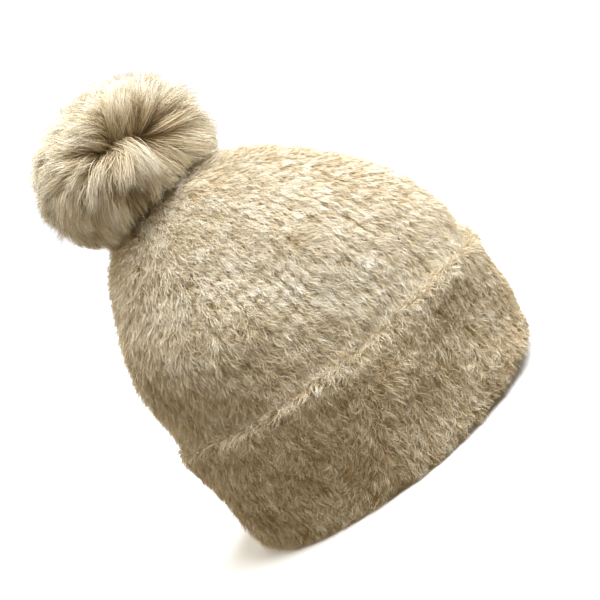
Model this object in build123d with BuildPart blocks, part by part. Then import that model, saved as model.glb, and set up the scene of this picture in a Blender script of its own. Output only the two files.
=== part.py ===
"""Pom pom beanie: a knitted hat with a turned-up cuff, a fleece lining and a fur pom on a press stud.

Millimetres, +Z up. The hat stands on its rim: the origin is the middle of the rim, at its lowest
face. X runs across the wide side of the hat, +Y is its back, where the knit is seamed.
"""

import os
from math import acos, asin, atan2, cos, degrees, hypot, radians, sin

from build123d import *

# ---- Driving dimensions -------------------------------------------------------------------------
KNIT = 4.0  # brushed knit, one layer with its nap pressed
FLEECE = 2.0  # lining cloth
LINING_GAP = 1.0  # between the knit and the lining
CLEARANCE = 0.4  # between the cuff and the layer it folds over

CUFF_HEIGHT = 78.0
FOLD_HEIGHT = 5.0  # the turned fold at the rim, before the two layers part
CROWN_LEAN = 28.0  # how far the crown slumps sideways
CROWN_HEIGHT = 216.0
CROWN_TILT = 10.0  # degrees, of the pom's axis from upright

# The knit's outer surface: height, half width, half depth, sideways lean, tilt in degrees.
STATIONS = [
    (FOLD_HEIGHT, 102.5, 82.5, 0.0, 0.0),
    (40.0, 105.0, 85.5, 0.0, 0.0),
    (CUFF_HEIGHT, 107.0, 88.0, -1.5, 0.0),
    (108.0, 106.0, 88.0, -0.5, 0.0),
    (127.0, 102.5, 86.0, 2.5, 0.0),
    (146.0, 94.0, 80.0, 5.0, 0.0),
    (164.0, 81.5, 71.0, 8.5, 1.0),
    (180.0, 68.5, 61.0, 12.5, 2.0),
    (193.0, 56.0, 51.0, 17.5, 4.0),
    (204.0, 42.0, 39.0, 22.5, 6.0),
    (212.0, 28.0, 26.0, 26.5, 9.0),
    (CROWN_HEIGHT, 14.0, 14.0, CROWN_LEAN, CROWN_TILT),
]
# The cuff's outer surface: height, half width, half depth, sideways lean.
CUFF_STATIONS = [
    (0.0, 107.2, 88.0, 0.0),
    (CUFF_HEIGHT, 112.8, 93.8, -1.5),
]
CROWN_SLACK = 3.2  # how much lower the lining hangs under the crown than against the sides
SLACK_FROM = 200.0  # height where that slack starts

SEAM_STEP = 6.0  # between the stitches of the back seam
SEAM_STITCH = 5.0
SEAM_YARN = 1.2
TACK_HEIGHT = 66.0  # of the stitches that hold the cuff up
TACK_SPACING = 4.0
TACK_YARN = 1.4

LINING_FOOT = 24.0  # lower edge of the lining
HEM_HEIGHT = 26.5
HEM_THREAD = 1.2
LABEL_WIDTH = 22.0
LABEL_LENGTH = 34.0
LABEL_THICKNESS = 0.9
LABEL_TOP = 64.0
LABEL_LIFT = 1.1  # from the label up to its stitches, so that it can swing

# Everything on the pom's axis: heights above the crown's top face, and radii.
GATHER_HOLE = 6.0
PATCH_TOP = -4.2
PATCH_BOTTOM = -5.8
PATCH_RADIUS = 11.5
ANCHOR_RADIUS = 3.1
SHANK_RADIUS = 2.2
SHANK_FOOT = 0.6
SHANK_TOP = 2.4
POST_FOOT = 3.5  # foot of the socket's own post of thread, above the shank
SOCKET_BASE = 5.0
SNAP_RADIUS = 7.5
SNAP_BORE = 3.15
SPRING_HEIGHT = 7.15
STUD_FLANGE = 9.0
SEW_HOLE = 0.8
SEW_CIRCLE = 6.2
DISC_BASE = 10.4
DISC_RADIUS = 19.0
DISC_THICKNESS = 1.6
FILLING_RADIUS = 33.0
FILLING_HALF_HEIGHT = 19.8
FILLING_CENTRE = 32.2
FILLING_GAP = 1.0  # between the filling and the pelt around it
FUR_RADIUS = 62.0
FUR_HALF_HEIGHT = 42.0
FUR_CENTRE = 31.0
FUR_FOOT = 7.4  # underside of the fur, clear of the crown when the pom tilts
MOUTH_RADIUS = 21.9  # where the pelt is gathered to the disc

os.makedirs("parts", exist_ok=True)


def save(piece, name):
    """Names a finished piece and writes it."""
    piece.part.label = name
    export_step(piece.part, f"parts/{name}.step")


# ---- The hat's surface --------------------------------------------------------------------------
def tilted(height, lean, tilt):
    """The plane of one ring of the hat."""
    turn = radians(tilt)
    return Plane(origin=(lean, 0, height), x_dir=(cos(turn), 0, -sin(turn)), z_dir=(sin(turn), 0, cos(turn)))


def inset_stations(depth, slack=0.0):
    """The stations of a surface that lies the given depth inside the knit's outer surface."""
    found = []
    for i, (height, width, deep, lean, tilt) in enumerate(STATIONS):
        below = STATIONS[max(i - 1, 0)]
        above = STATIONS[min(i + 1, len(STATIONS) - 1)]
        rise = above[0] - below[0]
        run = (below[1] + below[2] - above[1] - above[2]) / 2
        length = hypot(rise, run)
        sink = depth + (slack if height > SLACK_FROM else 0.0)
        inward, down = sink * rise / length, sink * run / length
        if i == 0:
            down = 0.0
        if i == len(STATIONS) - 1:
            down = sink
        plane = tilted(height, lean, tilt).offset(-down)
        found.append((plane, width - inward, deep - inward))
    return found


def dome_rings(depth, slack=0.0):
    """The rings to loft for a dome that lies the given depth inside the knit's outer surface."""
    rings = []
    for plane, width, deep in inset_stations(depth, slack):
        with BuildSketch(plane) as ring:
            Ellipse(width, deep)
        rings.append(ring.sketch)
    return rings


def half_depth(height):
    """Half the hat's depth at a height below the crown's slope, along straight runs."""
    for low, high in zip(STATIONS, STATIONS[1:]):
        if height <= high[0]:
            share = (height - low[0]) / (high[0] - low[0])
            return low[2] + share * (high[2] - low[2])
    return STATIONS[-1][2]


crown = tilted(CROWN_HEIGHT, CROWN_LEAN, CROWN_TILT)
pom_axis = Axis(crown.origin, crown.z_dir)
# Profiles to revolve about the pom's axis: local x is the radius, local y the height.
profile = Plane(origin=crown.origin, x_dir=crown.x_dir, z_dir=-crown.y_dir)

# ---- Knitted tube -------------------------------------------------------------------------------
with BuildPart() as knit_body:
    loft(dome_rings(0), ruled=True)
    loft(dome_rings(KNIT), ruled=True, mode=Mode.SUBTRACT)
    with BuildSketch(crown.offset(-2 * KNIT)):
        Circle(GATHER_HOLE)
    extrude(amount=3 * KNIT, mode=Mode.SUBTRACT)
save(knit_body, "knit_body")

cuff_rings = []
for height, width, deep, lean in CUFF_STATIONS:
    with BuildSketch(tilted(height, lean, 0)) as ring:
        Ellipse(width, deep)
    cuff_rings.append(ring.sketch)

with BuildPart() as cuff:
    loft(cuff_rings, ruled=True)
    loft(dome_rings(-CLEARANCE), ruled=True, mode=Mode.SUBTRACT)
    with BuildSketch(Plane.XY):
        Ellipse(STATIONS[0][1] - KNIT, STATIONS[0][2] - KNIT)
    extrude(amount=FOLD_HEIGHT, mode=Mode.SUBTRACT)
    foot = cuff.faces().sort_by(Axis.Z)[0]
    fillet(foot.outer_wire().edges(), radius=3.4)
    foot = cuff.faces().sort_by(Axis.Z)[0]
    fillet(foot.inner_wires()[0].edges(), radius=1.8)
save(cuff, "cuff")

# ---- Yarns that close and hold the knit ---------------------------------------------------------
with BuildPart() as crown_gather_yarn:
    with BuildSketch(profile):
        with Locations((4.7, -KNIT / 2)):
            Circle(1.15)
    revolve(axis=pom_axis)
save(crown_gather_yarn, "crown_gather_yarn")

with BuildPart() as crown_patch:
    with BuildSketch(crown.offset(PATCH_BOTTOM)):
        Circle(PATCH_RADIUS)
        Circle(ANCHOR_RADIUS + 0.2, mode=Mode.SUBTRACT)
    extrude(amount=PATCH_TOP - PATCH_BOTTOM)
    fillet(crown_patch.edges().filter_by(GeomType.CIRCLE).sort_by(SortBy.RADIUS)[-2:], radius=0.4)
save(crown_patch, "crown_patch")

# The sewing thread that ties the press stud's shank down: a column through the patch and a knot.
with BuildPart() as socket_anchor_thread:
    with BuildSketch(crown.offset(PATCH_BOTTOM)):
        Circle(ANCHOR_RADIUS)
    extrude(amount=-PATCH_BOTTOM - 0.3)
    with BuildSketch(crown.offset(PATCH_BOTTOM - 1.0)):
        Circle(ANCHOR_RADIUS + 2.0)
    extrude(amount=1.0)
    fillet(socket_anchor_thread.faces().sort_by(pom_axis)[-1].edges(), radius=0.8)
save(socket_anchor_thread, "socket_anchor_thread")

# The seam's stitches cross the back of the knit from the fold to the crown, on its inner face.
with BuildLine() as seam_line:
    Polyline([plane.origin + plane.y_dir * deep for plane, width, deep in inset_stations(KNIT - 0.6)])
seam_path = seam_line.wires()[0]
seam_count = int(seam_path.length // SEAM_STEP)

with BuildPart() as back_seam_yarn:
    for i in range(1, seam_count):
        with BuildSketch(Plane(origin=seam_path @ (i / seam_count), x_dir=(0, 1, 0), z_dir=(1, 0, 0))):
            Circle(SEAM_YARN / 2)
        extrude(amount=SEAM_STITCH / 2, both=True)
save(back_seam_yarn, "back_seam_yarn")

with BuildPart() as cuff_tacks:
    for side in (-1, 1):
        inner_face = (side * (STATIONS[2][1] - KNIT), 0, TACK_HEIGHT)
        with BuildSketch(Plane(origin=inner_face, x_dir=(0, 1, 0), z_dir=(side, 0, 0))):
            with Locations((-TACK_SPACING / 2, 0), (TACK_SPACING / 2, 0)):
                Circle(TACK_YARN / 2)
        extrude(amount=KNIT + 3)
save(cuff_tacks, "cuff_tacks")

# ---- Fleece lining: four gores, front and back, left and right ----------------------------------
lean_plane = Plane(origin=(0, 0, LINING_FOOT), x_dir=(0, 1, 0), z_dir=(cos(0.13), 0, -sin(0.13)))
LINING_DEPTH = KNIT + LINING_GAP


with BuildPart() as lining:
    loft(dome_rings(LINING_DEPTH, CROWN_SLACK), ruled=True)
    loft(dome_rings(LINING_DEPTH + FLEECE, CROWN_SLACK), ruled=True, mode=Mode.SUBTRACT)
    split(bisect_by=Plane.XY.offset(LINING_FOOT), keep=Keep.TOP)


def lining_gore(side, face):
    """One quarter of the lining: side is +1 for +X, face is +1 for the back."""
    with BuildPart() as gore:
        add(lining.part)
        split(bisect_by=lean_plane, keep=Keep.TOP if side > 0 else Keep.BOTTOM)
        split(bisect_by=Plane.XZ, keep=Keep.BOTTOM if face > 0 else Keep.TOP)
    return gore


for side, side_name in ((1, "left"), (-1, "right")):
    for face, face_name in ((1, "back"), (-1, "front")):
        save(lining_gore(side, face), f"lining_{face_name}_{side_name}")

with BuildPart() as lining_hem_thread:
    loft(dome_rings(KNIT + 0.1), ruled=True)
    loft(dome_rings(LINING_DEPTH - 0.1), ruled=True, mode=Mode.SUBTRACT)
    split(bisect_by=Plane.XY.offset(HEM_HEIGHT), keep=Keep.TOP)
    split(bisect_by=Plane.XY.offset(HEM_HEIGHT + HEM_THREAD), keep=Keep.BOTTOM)
save(lining_hem_thread, "lining_hem_thread")

# ---- Care label, sewn in at the back by its top edge --------------------------------------------
label_inset = LINING_DEPTH + FLEECE + 2.2
label_top_y = half_depth(LABEL_TOP) - label_inset
label_foot_y = half_depth(LABEL_TOP - LABEL_LENGTH) - label_inset
label_slope = atan2(label_top_y - label_foot_y, LABEL_LENGTH)
label_plane = Plane(
    origin=(0, label_top_y, LABEL_TOP), x_dir=(1, 0, 0), z_dir=(0, -cos(label_slope), sin(label_slope))
)

with BuildPart() as care_label:
    with BuildSketch(label_plane):
        with Locations((0, -LABEL_LENGTH / 2)):
            RectangleRounded(LABEL_WIDTH, LABEL_LENGTH, 0.8)
    extrude(amount=LABEL_THICKNESS)
save(care_label, "care_label")

with BuildPart() as label_tack:
    with BuildSketch(Plane.XY.offset(LABEL_TOP + LABEL_LIFT)):
        with Locations((0, label_top_y + 1.2)):
            Rectangle(LABEL_WIDTH, 3.6)
    extrude(amount=1.2)
save(label_tack, "label_tack")

# ---- Press stud: thread shank, socket, ring spring and stud -------------------------------------
with BuildPart() as thread_shank:
    with BuildSketch(crown.offset(SHANK_FOOT)):
        Circle(SHANK_RADIUS)
    extrude(amount=SHANK_TOP - SHANK_FOOT)
    fillet(thread_shank.edges().filter_by(GeomType.CIRCLE), radius=0.4)
save(thread_shank, "thread_shank")

with BuildPart() as snap_socket:
    with BuildSketch(profile):
        with BuildLine():
            Polyline(
                (0, SOCKET_BASE),
                (SNAP_RADIUS, SOCKET_BASE),
                (SNAP_RADIUS, SOCKET_BASE + 0.7),
                (5.1, SOCKET_BASE + 0.9),
                (4.9, SOCKET_BASE + 3.5),
                (SNAP_BORE, SOCKET_BASE + 3.5),
                (SNAP_BORE, SPRING_HEIGHT + 0.55),
                (4.3, SPRING_HEIGHT + 0.55),
                (4.3, SPRING_HEIGHT - 0.55),
                (SNAP_BORE, SPRING_HEIGHT - 0.55),
                (SNAP_BORE, SOCKET_BASE + 0.8),
                (0, SOCKET_BASE + 0.8),
                close=True,
            )
        make_face()
    revolve(axis=pom_axis)
    with BuildSketch(crown.offset(SOCKET_BASE)):
        with PolarLocations(SEW_CIRCLE, 4, start_angle=45):
            Circle(SEW_HOLE)
    extrude(amount=1.5, mode=Mode.SUBTRACT)
save(snap_socket, "snap_socket")

with BuildPart() as socket_stitches:
    with BuildSketch(crown.offset(POST_FOOT)):
        Circle(SHANK_RADIUS)
    extrude(amount=0.9)
    with BuildSketch(crown.offset(SOCKET_BASE - 0.6)):
        with Locations(Rotation(0, 0, 45), Rotation(0, 0, 135)):
            SlotOverall(2 * SEW_CIRCLE + 1.3, 1.3)
    extrude(amount=0.6)
    with BuildSketch(crown.offset(SOCKET_BASE - 0.6)):
        with PolarLocations(SEW_CIRCLE, 4, start_angle=45):
            Circle(SEW_HOLE - 0.15)
    extrude(amount=1.9)
save(socket_stitches, "socket_stitches")

with BuildPart() as ring_spring:
    with BuildSketch(profile):
        with Locations((3.6, SPRING_HEIGHT)):
            Circle(0.42)
    revolve(axis=pom_axis, revolution_arc=335)
save(ring_spring, "ring_spring")

with BuildPart() as snap_stud:
    with BuildSketch(profile):
        with BuildLine():
            foot_line = Line((0, SOCKET_BASE + 1.0), (1.6, SOCKET_BASE + 1.0))
            ball = ThreePointArc(foot_line @ 1, (3.0, SPRING_HEIGHT - 0.35), (2.4, SPRING_HEIGHT + 0.7))
            Polyline(
                ball @ 1,
                (2.4, STUD_FLANGE),
                (SNAP_RADIUS, STUD_FLANGE),
                (SNAP_RADIUS, STUD_FLANGE + 0.6),
                (0, STUD_FLANGE + 0.6),
                foot_line @ 0,
            )
        make_face()
    revolve(axis=pom_axis)
    with BuildSketch(crown.offset(STUD_FLANGE)):
        with PolarLocations(SEW_CIRCLE - 0.8, 4, start_angle=45):
            Circle(SEW_HOLE)
    extrude(amount=1.5, mode=Mode.SUBTRACT)
save(snap_stud, "snap_stud")

# ---- Pom: stitches, disc, gathering thread, filling and fur -------------------------------------
with BuildPart() as stud_stitches:
    with BuildSketch(crown.offset(STUD_FLANGE - 0.2)):
        with PolarLocations(SEW_CIRCLE - 0.8, 4, start_angle=45):
            Circle(SEW_HOLE - 0.15)
    extrude(amount=DISC_BASE - STUD_FLANGE + 0.2)
    with BuildSketch(crown.offset(STUD_FLANGE + 0.6)):
        Circle(3.0)
    extrude(amount=DISC_BASE - STUD_FLANGE - 0.6)
save(stud_stitches, "stud_stitches")

with BuildPart() as pom_base_disc:
    with BuildSketch(crown.offset(DISC_BASE)):
        Circle(DISC_RADIUS)
        with PolarLocations(SEW_CIRCLE - 0.8, 4, start_angle=45):
            Circle(1.0, mode=Mode.SUBTRACT)
    extrude(amount=DISC_THICKNESS)
    rims = pom_base_disc.edges().filter_by(GeomType.CIRCLE).sort_by(SortBy.RADIUS)[-2:]
    fillet(rims, radius=0.5)
save(pom_base_disc, "pom_base_disc")

with BuildPart() as pom_gather_thread:
    with BuildSketch(profile):
        with Locations((MOUTH_RADIUS - 1.3, DISC_BASE + DISC_THICKNESS / 2)):
            Circle(0.9)
    revolve(axis=pom_axis)
save(pom_gather_thread, "pom_gather_thread")

def oval(radius, half_height, centre, start):
    """Half an oval's outline, from a starting angle in degrees to its top on the axis."""
    angles = [start + (90 - start) * i / 6 for i in range(7)]
    points = [(radius * cos(radians(a)), centre + half_height * sin(radians(a))) for a in angles]
    points[-1] = (0, centre + half_height)
    return points


with BuildPart() as pom_filling:
    with BuildSketch(profile):
        with BuildLine():
            belly = oval(FILLING_RADIUS, FILLING_HALF_HEIGHT, FILLING_CENTRE, -90)
            belly[0] = (0, FILLING_CENTRE - FILLING_HALF_HEIGHT)
            Spline(belly, tangents=[(1, 0), (-1, 0)])
            Line(belly[-1], belly[0])
        make_face()
    revolve(axis=pom_axis)
save(pom_filling, "pom_filling")

foot_angle = degrees(asin((FUR_FOOT - FUR_CENTRE) / FUR_HALF_HEIGHT))
hollow_radius = FILLING_RADIUS + FILLING_GAP
mouth_angle = -degrees(acos(MOUTH_RADIUS / hollow_radius))

with BuildPart() as pom_fur:
    with BuildSketch(profile):
        with BuildLine():
            outer = oval(FUR_RADIUS, FUR_HALF_HEIGHT, FUR_CENTRE, foot_angle)
            hollow = oval(hollow_radius, FILLING_HALF_HEIGHT + FILLING_GAP, FILLING_CENTRE, mouth_angle)
            Spline(outer)
            Spline(hollow)
            Line(outer[-1], hollow[-1])
            Polyline(hollow[0], (MOUTH_RADIUS, FUR_FOOT), outer[0])
        make_face()
    revolve(axis=pom_axis)
save(pom_fur, "pom_fur")
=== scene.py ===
"""The pom pom beanie's looks around its frame: brushed knit, cuff, fleece lining, fur pom and press stud."""

from math import cos, pi, radians, sin, tau

import bpy
import numpy as np
from mathutils import Matrix, Vector


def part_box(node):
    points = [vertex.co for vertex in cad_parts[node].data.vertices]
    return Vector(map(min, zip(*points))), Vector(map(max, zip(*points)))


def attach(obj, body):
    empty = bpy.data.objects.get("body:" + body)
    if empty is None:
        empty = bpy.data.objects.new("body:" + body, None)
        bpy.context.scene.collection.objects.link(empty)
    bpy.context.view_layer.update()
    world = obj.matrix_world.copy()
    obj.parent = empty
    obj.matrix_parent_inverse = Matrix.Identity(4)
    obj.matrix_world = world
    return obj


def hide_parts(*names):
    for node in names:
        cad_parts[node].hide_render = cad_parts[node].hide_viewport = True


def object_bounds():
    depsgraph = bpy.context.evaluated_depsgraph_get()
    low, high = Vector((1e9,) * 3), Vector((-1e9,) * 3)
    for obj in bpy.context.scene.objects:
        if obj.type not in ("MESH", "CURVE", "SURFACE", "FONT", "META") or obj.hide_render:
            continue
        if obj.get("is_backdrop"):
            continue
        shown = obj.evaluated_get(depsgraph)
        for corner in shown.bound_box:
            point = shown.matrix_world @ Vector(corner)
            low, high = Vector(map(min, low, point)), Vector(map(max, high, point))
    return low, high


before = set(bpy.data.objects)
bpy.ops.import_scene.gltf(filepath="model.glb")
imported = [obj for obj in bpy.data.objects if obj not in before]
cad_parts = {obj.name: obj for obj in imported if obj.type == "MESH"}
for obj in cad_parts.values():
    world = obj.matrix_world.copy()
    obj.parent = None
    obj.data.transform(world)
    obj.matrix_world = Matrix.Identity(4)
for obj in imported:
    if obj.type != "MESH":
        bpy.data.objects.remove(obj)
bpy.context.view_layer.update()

MM = 0.001
SEED = 11

# ---- The hat's surface ----
# Rings of the knit's outer surface: height, half width, half depth and lean towards +X in mm, tilt in degrees.
HAT_RINGS = (
    (5.0, 102.5, 82.5, 0.0, 0.0),
    (40.0, 105.0, 85.5, 0.0, 0.0),
    (78.0, 107.0, 88.0, -1.5, 0.0),
    (108.0, 106.0, 88.0, -0.5, 0.0),
    (127.0, 102.5, 86.0, 2.5, 0.0),
    (146.0, 94.0, 80.0, 5.0, 0.0),
    (164.0, 81.5, 71.0, 8.5, 1.0),
    (180.0, 68.5, 61.0, 12.5, 2.0),
    (193.0, 56.0, 51.0, 17.5, 4.0),
    (204.0, 42.0, 39.0, 22.5, 6.0),
    (212.0, 28.0, 26.0, 26.5, 9.0),
    (216.0, 14.0, 14.0, 28.0, 10.0),
    (216.2, 5.5, 5.5, 28.0, 10.0),
    (216.3, 0.4, 0.4, 28.0, 10.0),
)
FOLD = 5.0 * MM
CUFF_TOP = 78.0 * MM
KNIT_WALL = 3.4 * MM
LINING_INSET = 5.0 * MM
FLEECE_WALL = 2.0 * MM
LINING_FOOT = 24.0 * MM
LINING_SLACK = 3.2 * MM
RIBS = 84
RIB_COLUMNS = 6
RIB_RELIEF = 1.2 * MM
STITCH = 5.6 * MM
BACK = 0.25  # share of the girth, from +X, where the seam runs

CROWN = Vector((28.0, 0.0, 216.0)) * MM
CROWN_TILT = radians(10)
POM_AXIS = Vector((sin(CROWN_TILT), 0, cos(CROWN_TILT)))
POM_ACROSS = Vector((cos(CROWN_TILT), 0, -sin(CROWN_TILT)))
POM_RISE = 31.0  # mm, from the crown to the pom's centre
POM_CENTRE = CROWN + POM_AXIS * POM_RISE * MM
SKIN_RADIUS = 34.0 * MM
SKIN_HALF_HEIGHT = 20.8 * MM


def curve_through(x, known_x, known_y):
    """A smooth curve through known points, with the slopes of the points beside them."""
    slopes = np.gradient(known_y, known_x)
    i = np.clip(np.searchsorted(known_x, x, side="right") - 1, 0, len(known_x) - 2)
    width = known_x[i + 1] - known_x[i]
    s = np.clip((x - known_x[i]) / width, 0, 1)
    return (
        (1 + 2 * s) * (1 - s) ** 2 * known_y[i]
        + s * (1 - s) ** 2 * width * slopes[i]
        + s * s * (3 - 2 * s) * known_y[i + 1]
        + s * s * (s - 1) * width * slopes[i + 1]
    )


def unit(v):
    """Vectors scaled to length one."""
    return v / np.maximum(np.linalg.norm(v, axis=-1, keepdims=True), 1e-12)


def ease(x, low, high):
    """0 below low, 1 above high and smooth between them."""
    s = np.clip((np.asarray(x, float) - low) / (high - low), 0, 1)
    return s * s * (3 - 2 * s)


# ---- Mesh making ----
def place_object(name, data):
    """An object with its data, in the scene."""
    made = bpy.data.objects.new(name, data)
    bpy.context.scene.collection.objects.link(made)
    return made


def make_mesh(name, points, faces, smooth=True, shade=None):
    """A mesh object from numpy points and face arrays, each of one face size."""
    faces = [f for f in faces if len(f)]
    mesh = bpy.data.meshes.new(name)
    mesh.vertices.add(len(points))
    mesh.vertices.foreach_set("co", np.asarray(points, np.float32).ravel())
    loops = np.concatenate([f.ravel() for f in faces]).astype(np.int32)
    sizes = np.concatenate([np.full(len(f), f.shape[1]) for f in faces])
    starts = np.concatenate([[0], np.cumsum(sizes)[:-1]]).astype(np.int32)
    mesh.loops.add(len(loops))
    mesh.loops.foreach_set("vertex_index", loops)
    mesh.polygons.add(len(starts))
    mesh.polygons.foreach_set("loop_start", starts)
    mesh.polygons.foreach_set("use_smooth", np.full(len(starts), smooth))
    if shade is not None:
        tones = mesh.attributes.new("shade", "FLOAT", "POINT")
        tones.data.foreach_set("value", np.asarray(shade, np.float32).ravel())
    mesh.update(calc_edges=True)
    return place_object(name, mesh)


def grid_faces(rows, columns, close_columns=True, close_rows=False, first=0):
    """Quads of a grid of points, closed into a ring along its columns or rows."""
    row = np.arange(rows if close_rows else rows - 1)[:, None]
    column = np.arange(columns if close_columns else columns - 1)[None, :]
    here, up = row * columns, (row + 1) % rows * columns
    right = (column + 1) % columns
    return np.stack([here + column, here + right, up + right, up + column], -1).reshape(-1, 4) + first


def closed_sheet(name, near, far):
    """A closed sheet between two grids of points (rows, columns, 3), with walls round its edge."""
    rows, columns, _ = near.shape
    size = rows * columns
    rim = np.concatenate([
        np.arange(columns), columns * np.arange(1, rows) + columns - 1,
        size - 2 - np.arange(columns - 1), columns * np.arange(rows - 2, 0, -1),
    ])
    following = np.roll(rim, -1)
    faces = np.concatenate([
        grid_faces(rows, columns, False),
        grid_faces(rows, columns, False, first=size)[:, ::-1],
        np.stack([rim, rim + size, following + size, following], -1),
    ])
    return make_mesh(name, np.concatenate([near, far]).reshape(-1, 3), [faces])


def give(obj, material, body, replaces=()):
    """Sets a piece's material and its body, and hides the CAD nodes that it stands for."""
    obj.data.materials.clear()
    obj.data.materials.append(material)
    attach(obj, body)
    if replaces:
        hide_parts(*replaces)
    return obj


def rolled_up(name, points, material, body, replaces):
    """A piece from a grid of points (rows, columns, 3) whose rows and columns both close into rings."""
    rows, columns, _ = points.shape
    made = make_mesh(name, points.reshape(-1, 3), [grid_faces(rows, columns, close_rows=True)])
    return give(made, material, body, replaces)


LOWEST = -0.3 * MM  # hair that would reach through the floor lies on it


def strands(name, paths, widths, sides, shade):
    """Hair as tapered ribbons: paths (n, k, 3), widths (k,) or (n, k), sides (n, 3), shade (n, k)."""
    n, k, _ = paths.shape
    half = (np.broadcast_to(widths, (n, k)) / 2)[..., None] * sides[:, None, :]
    pairs = np.stack([paths[:, :-1] - half[:, :-1], paths[:, :-1] + half[:, :-1]], 2).reshape(n, -1, 3)
    points = np.concatenate([pairs, paths[:, -1:]], 1)
    points[..., 2] = np.maximum(points[..., 2], LOWEST)
    tones = np.concatenate([np.repeat(shade[:, :-1], 2, axis=1), shade[:, -1:]], 1)
    size = 2 * k - 1
    first = np.arange(n)[:, None] * size
    quads = [first + np.array([2 * i, 2 * i + 1, 2 * i + 3, 2 * i + 2]) for i in range(k - 2)]
    tips = first + np.array([size - 3, size - 2, size - 1])
    return make_mesh(name, points.reshape(-1, 3), [np.concatenate(quads), tips], shade=tones)


def sew(name, paths, radius, look, body, replaces=(), plies=2, pitch=2.4, sides=5, closed=False):
    """Twisted yarns along paths of points, as one piece; pitch is in yarn widths."""
    points, faces, caps, count = [], [], [], 0
    for path in paths:
        path = np.asarray(path, float)
        n = len(path)
        if closed:
            tangent = unit(np.roll(path, -1, 0) - np.roll(path, 1, 0))
            steps = np.linalg.norm(np.roll(path, -1, 0) - path, axis=1)
            run = np.concatenate([[0], np.cumsum(steps)[:-1]]) / steps.sum()
            turns = max(1, round(steps.sum() / (2 * radius * pitch)))
        else:
            tangent = unit(np.gradient(path, axis=0))
            steps = np.linalg.norm(np.diff(path, axis=0), axis=1)
            run = np.concatenate([[0], np.cumsum(steps)]) / steps.sum()
            turns = steps.sum() / (2 * radius * pitch)
        mean = tangent.mean(0)
        guess = np.array((0, 0, 1.0)) if abs(mean[2]) < 0.7 else np.array((1.0, 0, 0))
        normal = unit(guess - (tangent @ guess)[:, None] * tangent)
        second = np.cross(tangent, normal)
        for ply in range(plies):
            turn = tau * (turns * run + ply / plies)
            middle = path + 0.5 * radius * (np.cos(turn)[:, None] * normal + np.sin(turn)[:, None] * second)
            ring = tau * np.arange(sides) / sides
            thick = 0.56 * radius
            if not closed:
                thick = thick * np.clip(np.minimum(run, 1 - run) * n / 1.6 + 0.45, 0, 1)[:, None, None]
            tube = middle[:, None] + thick * (
                np.cos(ring)[None, :, None] * normal[:, None] + np.sin(ring)[None, :, None] * second[:, None]
            )
            points.append(tube.reshape(-1, 3))
            faces.append(grid_faces(n, sides, close_rows=closed, first=count)[:, ::-1])
            if not closed:
                caps.append(np.arange(sides) + count)
                caps.append((np.arange(sides) + count + (n - 1) * sides)[::-1])
            count += n * sides
    face_sets = [np.concatenate(faces)] + ([np.array(caps)] if caps else [])
    return give(make_mesh(name, np.concatenate(points), face_sets), look, body, replaces)


# ---- Surfaces ----
rings = np.array(HAT_RINGS) * (MM, MM, MM, MM, 1)
ring_runs = np.hypot(np.diff(rings[:, 0]), np.diff(rings[:, 1] + rings[:, 2]) / 2)
ring_place = np.concatenate([[0], np.cumsum(ring_runs)])
MERIDIAN = ring_place[-1]
KNIT_END = ring_place[-2]


def place_at(height):
    """How far up the meridian a height lies."""
    return np.interp(height, rings[:, 0], ring_place)


rim_angles = np.linspace(0, tau, 2049)
rim_steps = np.hypot(rings[2, 1] * np.diff(np.cos(rim_angles)), rings[2, 2] * np.diff(np.sin(rim_angles)))
rim_share = np.concatenate([[0], np.cumsum(rim_steps)]) / rim_steps.sum()
GIRTH = rim_steps.sum()


def matched(a, b):
    """Two numbers or arrays, brought to one shape."""
    return np.broadcast_arrays(np.asarray(a, float), np.asarray(b, float))


def smooth_hat(share, place):
    """Points of the hat's smooth outer surface, by share of the girth from +X and place on the meridian."""
    share, place = matched(share, place)
    angle = np.interp(share % 1.0, rim_share, rim_angles)
    height, wide, deep, lean, tilt = (curve_through(place, ring_place, rings[:, i]) for i in range(5))
    tilt = np.radians(tilt)
    across = wide * np.cos(angle)
    return np.stack([lean + across * np.cos(tilt), deep * np.sin(angle), height - across * np.sin(tilt)], -1)


def axes(surface, share, place, top=MERIDIAN):
    """At points of a surface: the way round, the way up and outward."""
    step = 0.5 * MM
    around = unit(surface(share + 1e-3, place) - surface(share - 1e-3, place))
    low = np.clip(place - step, 0, top - 2 * step)
    up = unit(surface(share, low + 2 * step) - surface(share, low))
    return around, up, unit(np.cross(around, up))


def girth_at(place):
    """The hat's girth at a place, nearly."""
    wide, deep = (curve_through(place, ring_place, rings[:, i]) for i in (1, 2))
    return GIRTH * (wide + deep) / (rings[2, 1] + rings[2, 2])


class Field:
    """A smooth random field, about -1 to 1, closed round the girth."""

    def __init__(self, seed, turns, length, count=10):
        rng = np.random.default_rng(SEED * 100 + seed)
        self.turns = rng.integers(1, turns + 1, count) * rng.choice((-1, 1), count)
        self.along = rng.uniform(0.3, 1.0, count) / length
        self.phase = rng.uniform(0, 1, count)
        self.size = rng.uniform(0.5, 1.0, count)

    def __call__(self, share, place):
        total = 0
        for t, a, p, s in zip(self.turns, self.along, self.phase, self.size):
            total = total + s * np.cos(tau * (t * share + a * place + p))
        return total / np.sqrt((self.size**2).sum() / 2) * 0.6


slump = Field(1, 5, 130 * MM)
SLUMP_DEPTH = 2.0 * MM
SHOULDER = 2.8 * MM  # fullness of the crown's +X side
SHOULDER_PLACE = place_at(184 * MM)
SHOULDER_SPREAD = 26 * MM
RIM_LIFT = 10.5 * MM  # how far the rim's -X end stands off the ground


def full_side(share, place):
    """How far the hat stands out of its smooth shape on the side that it leans to."""
    side = np.clip(np.cos(tau * share), 0, 1)
    return SHOULDER * side * np.exp(-(((place - SHOULDER_PLACE) / SHOULDER_SPREAD) ** 2))


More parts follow.
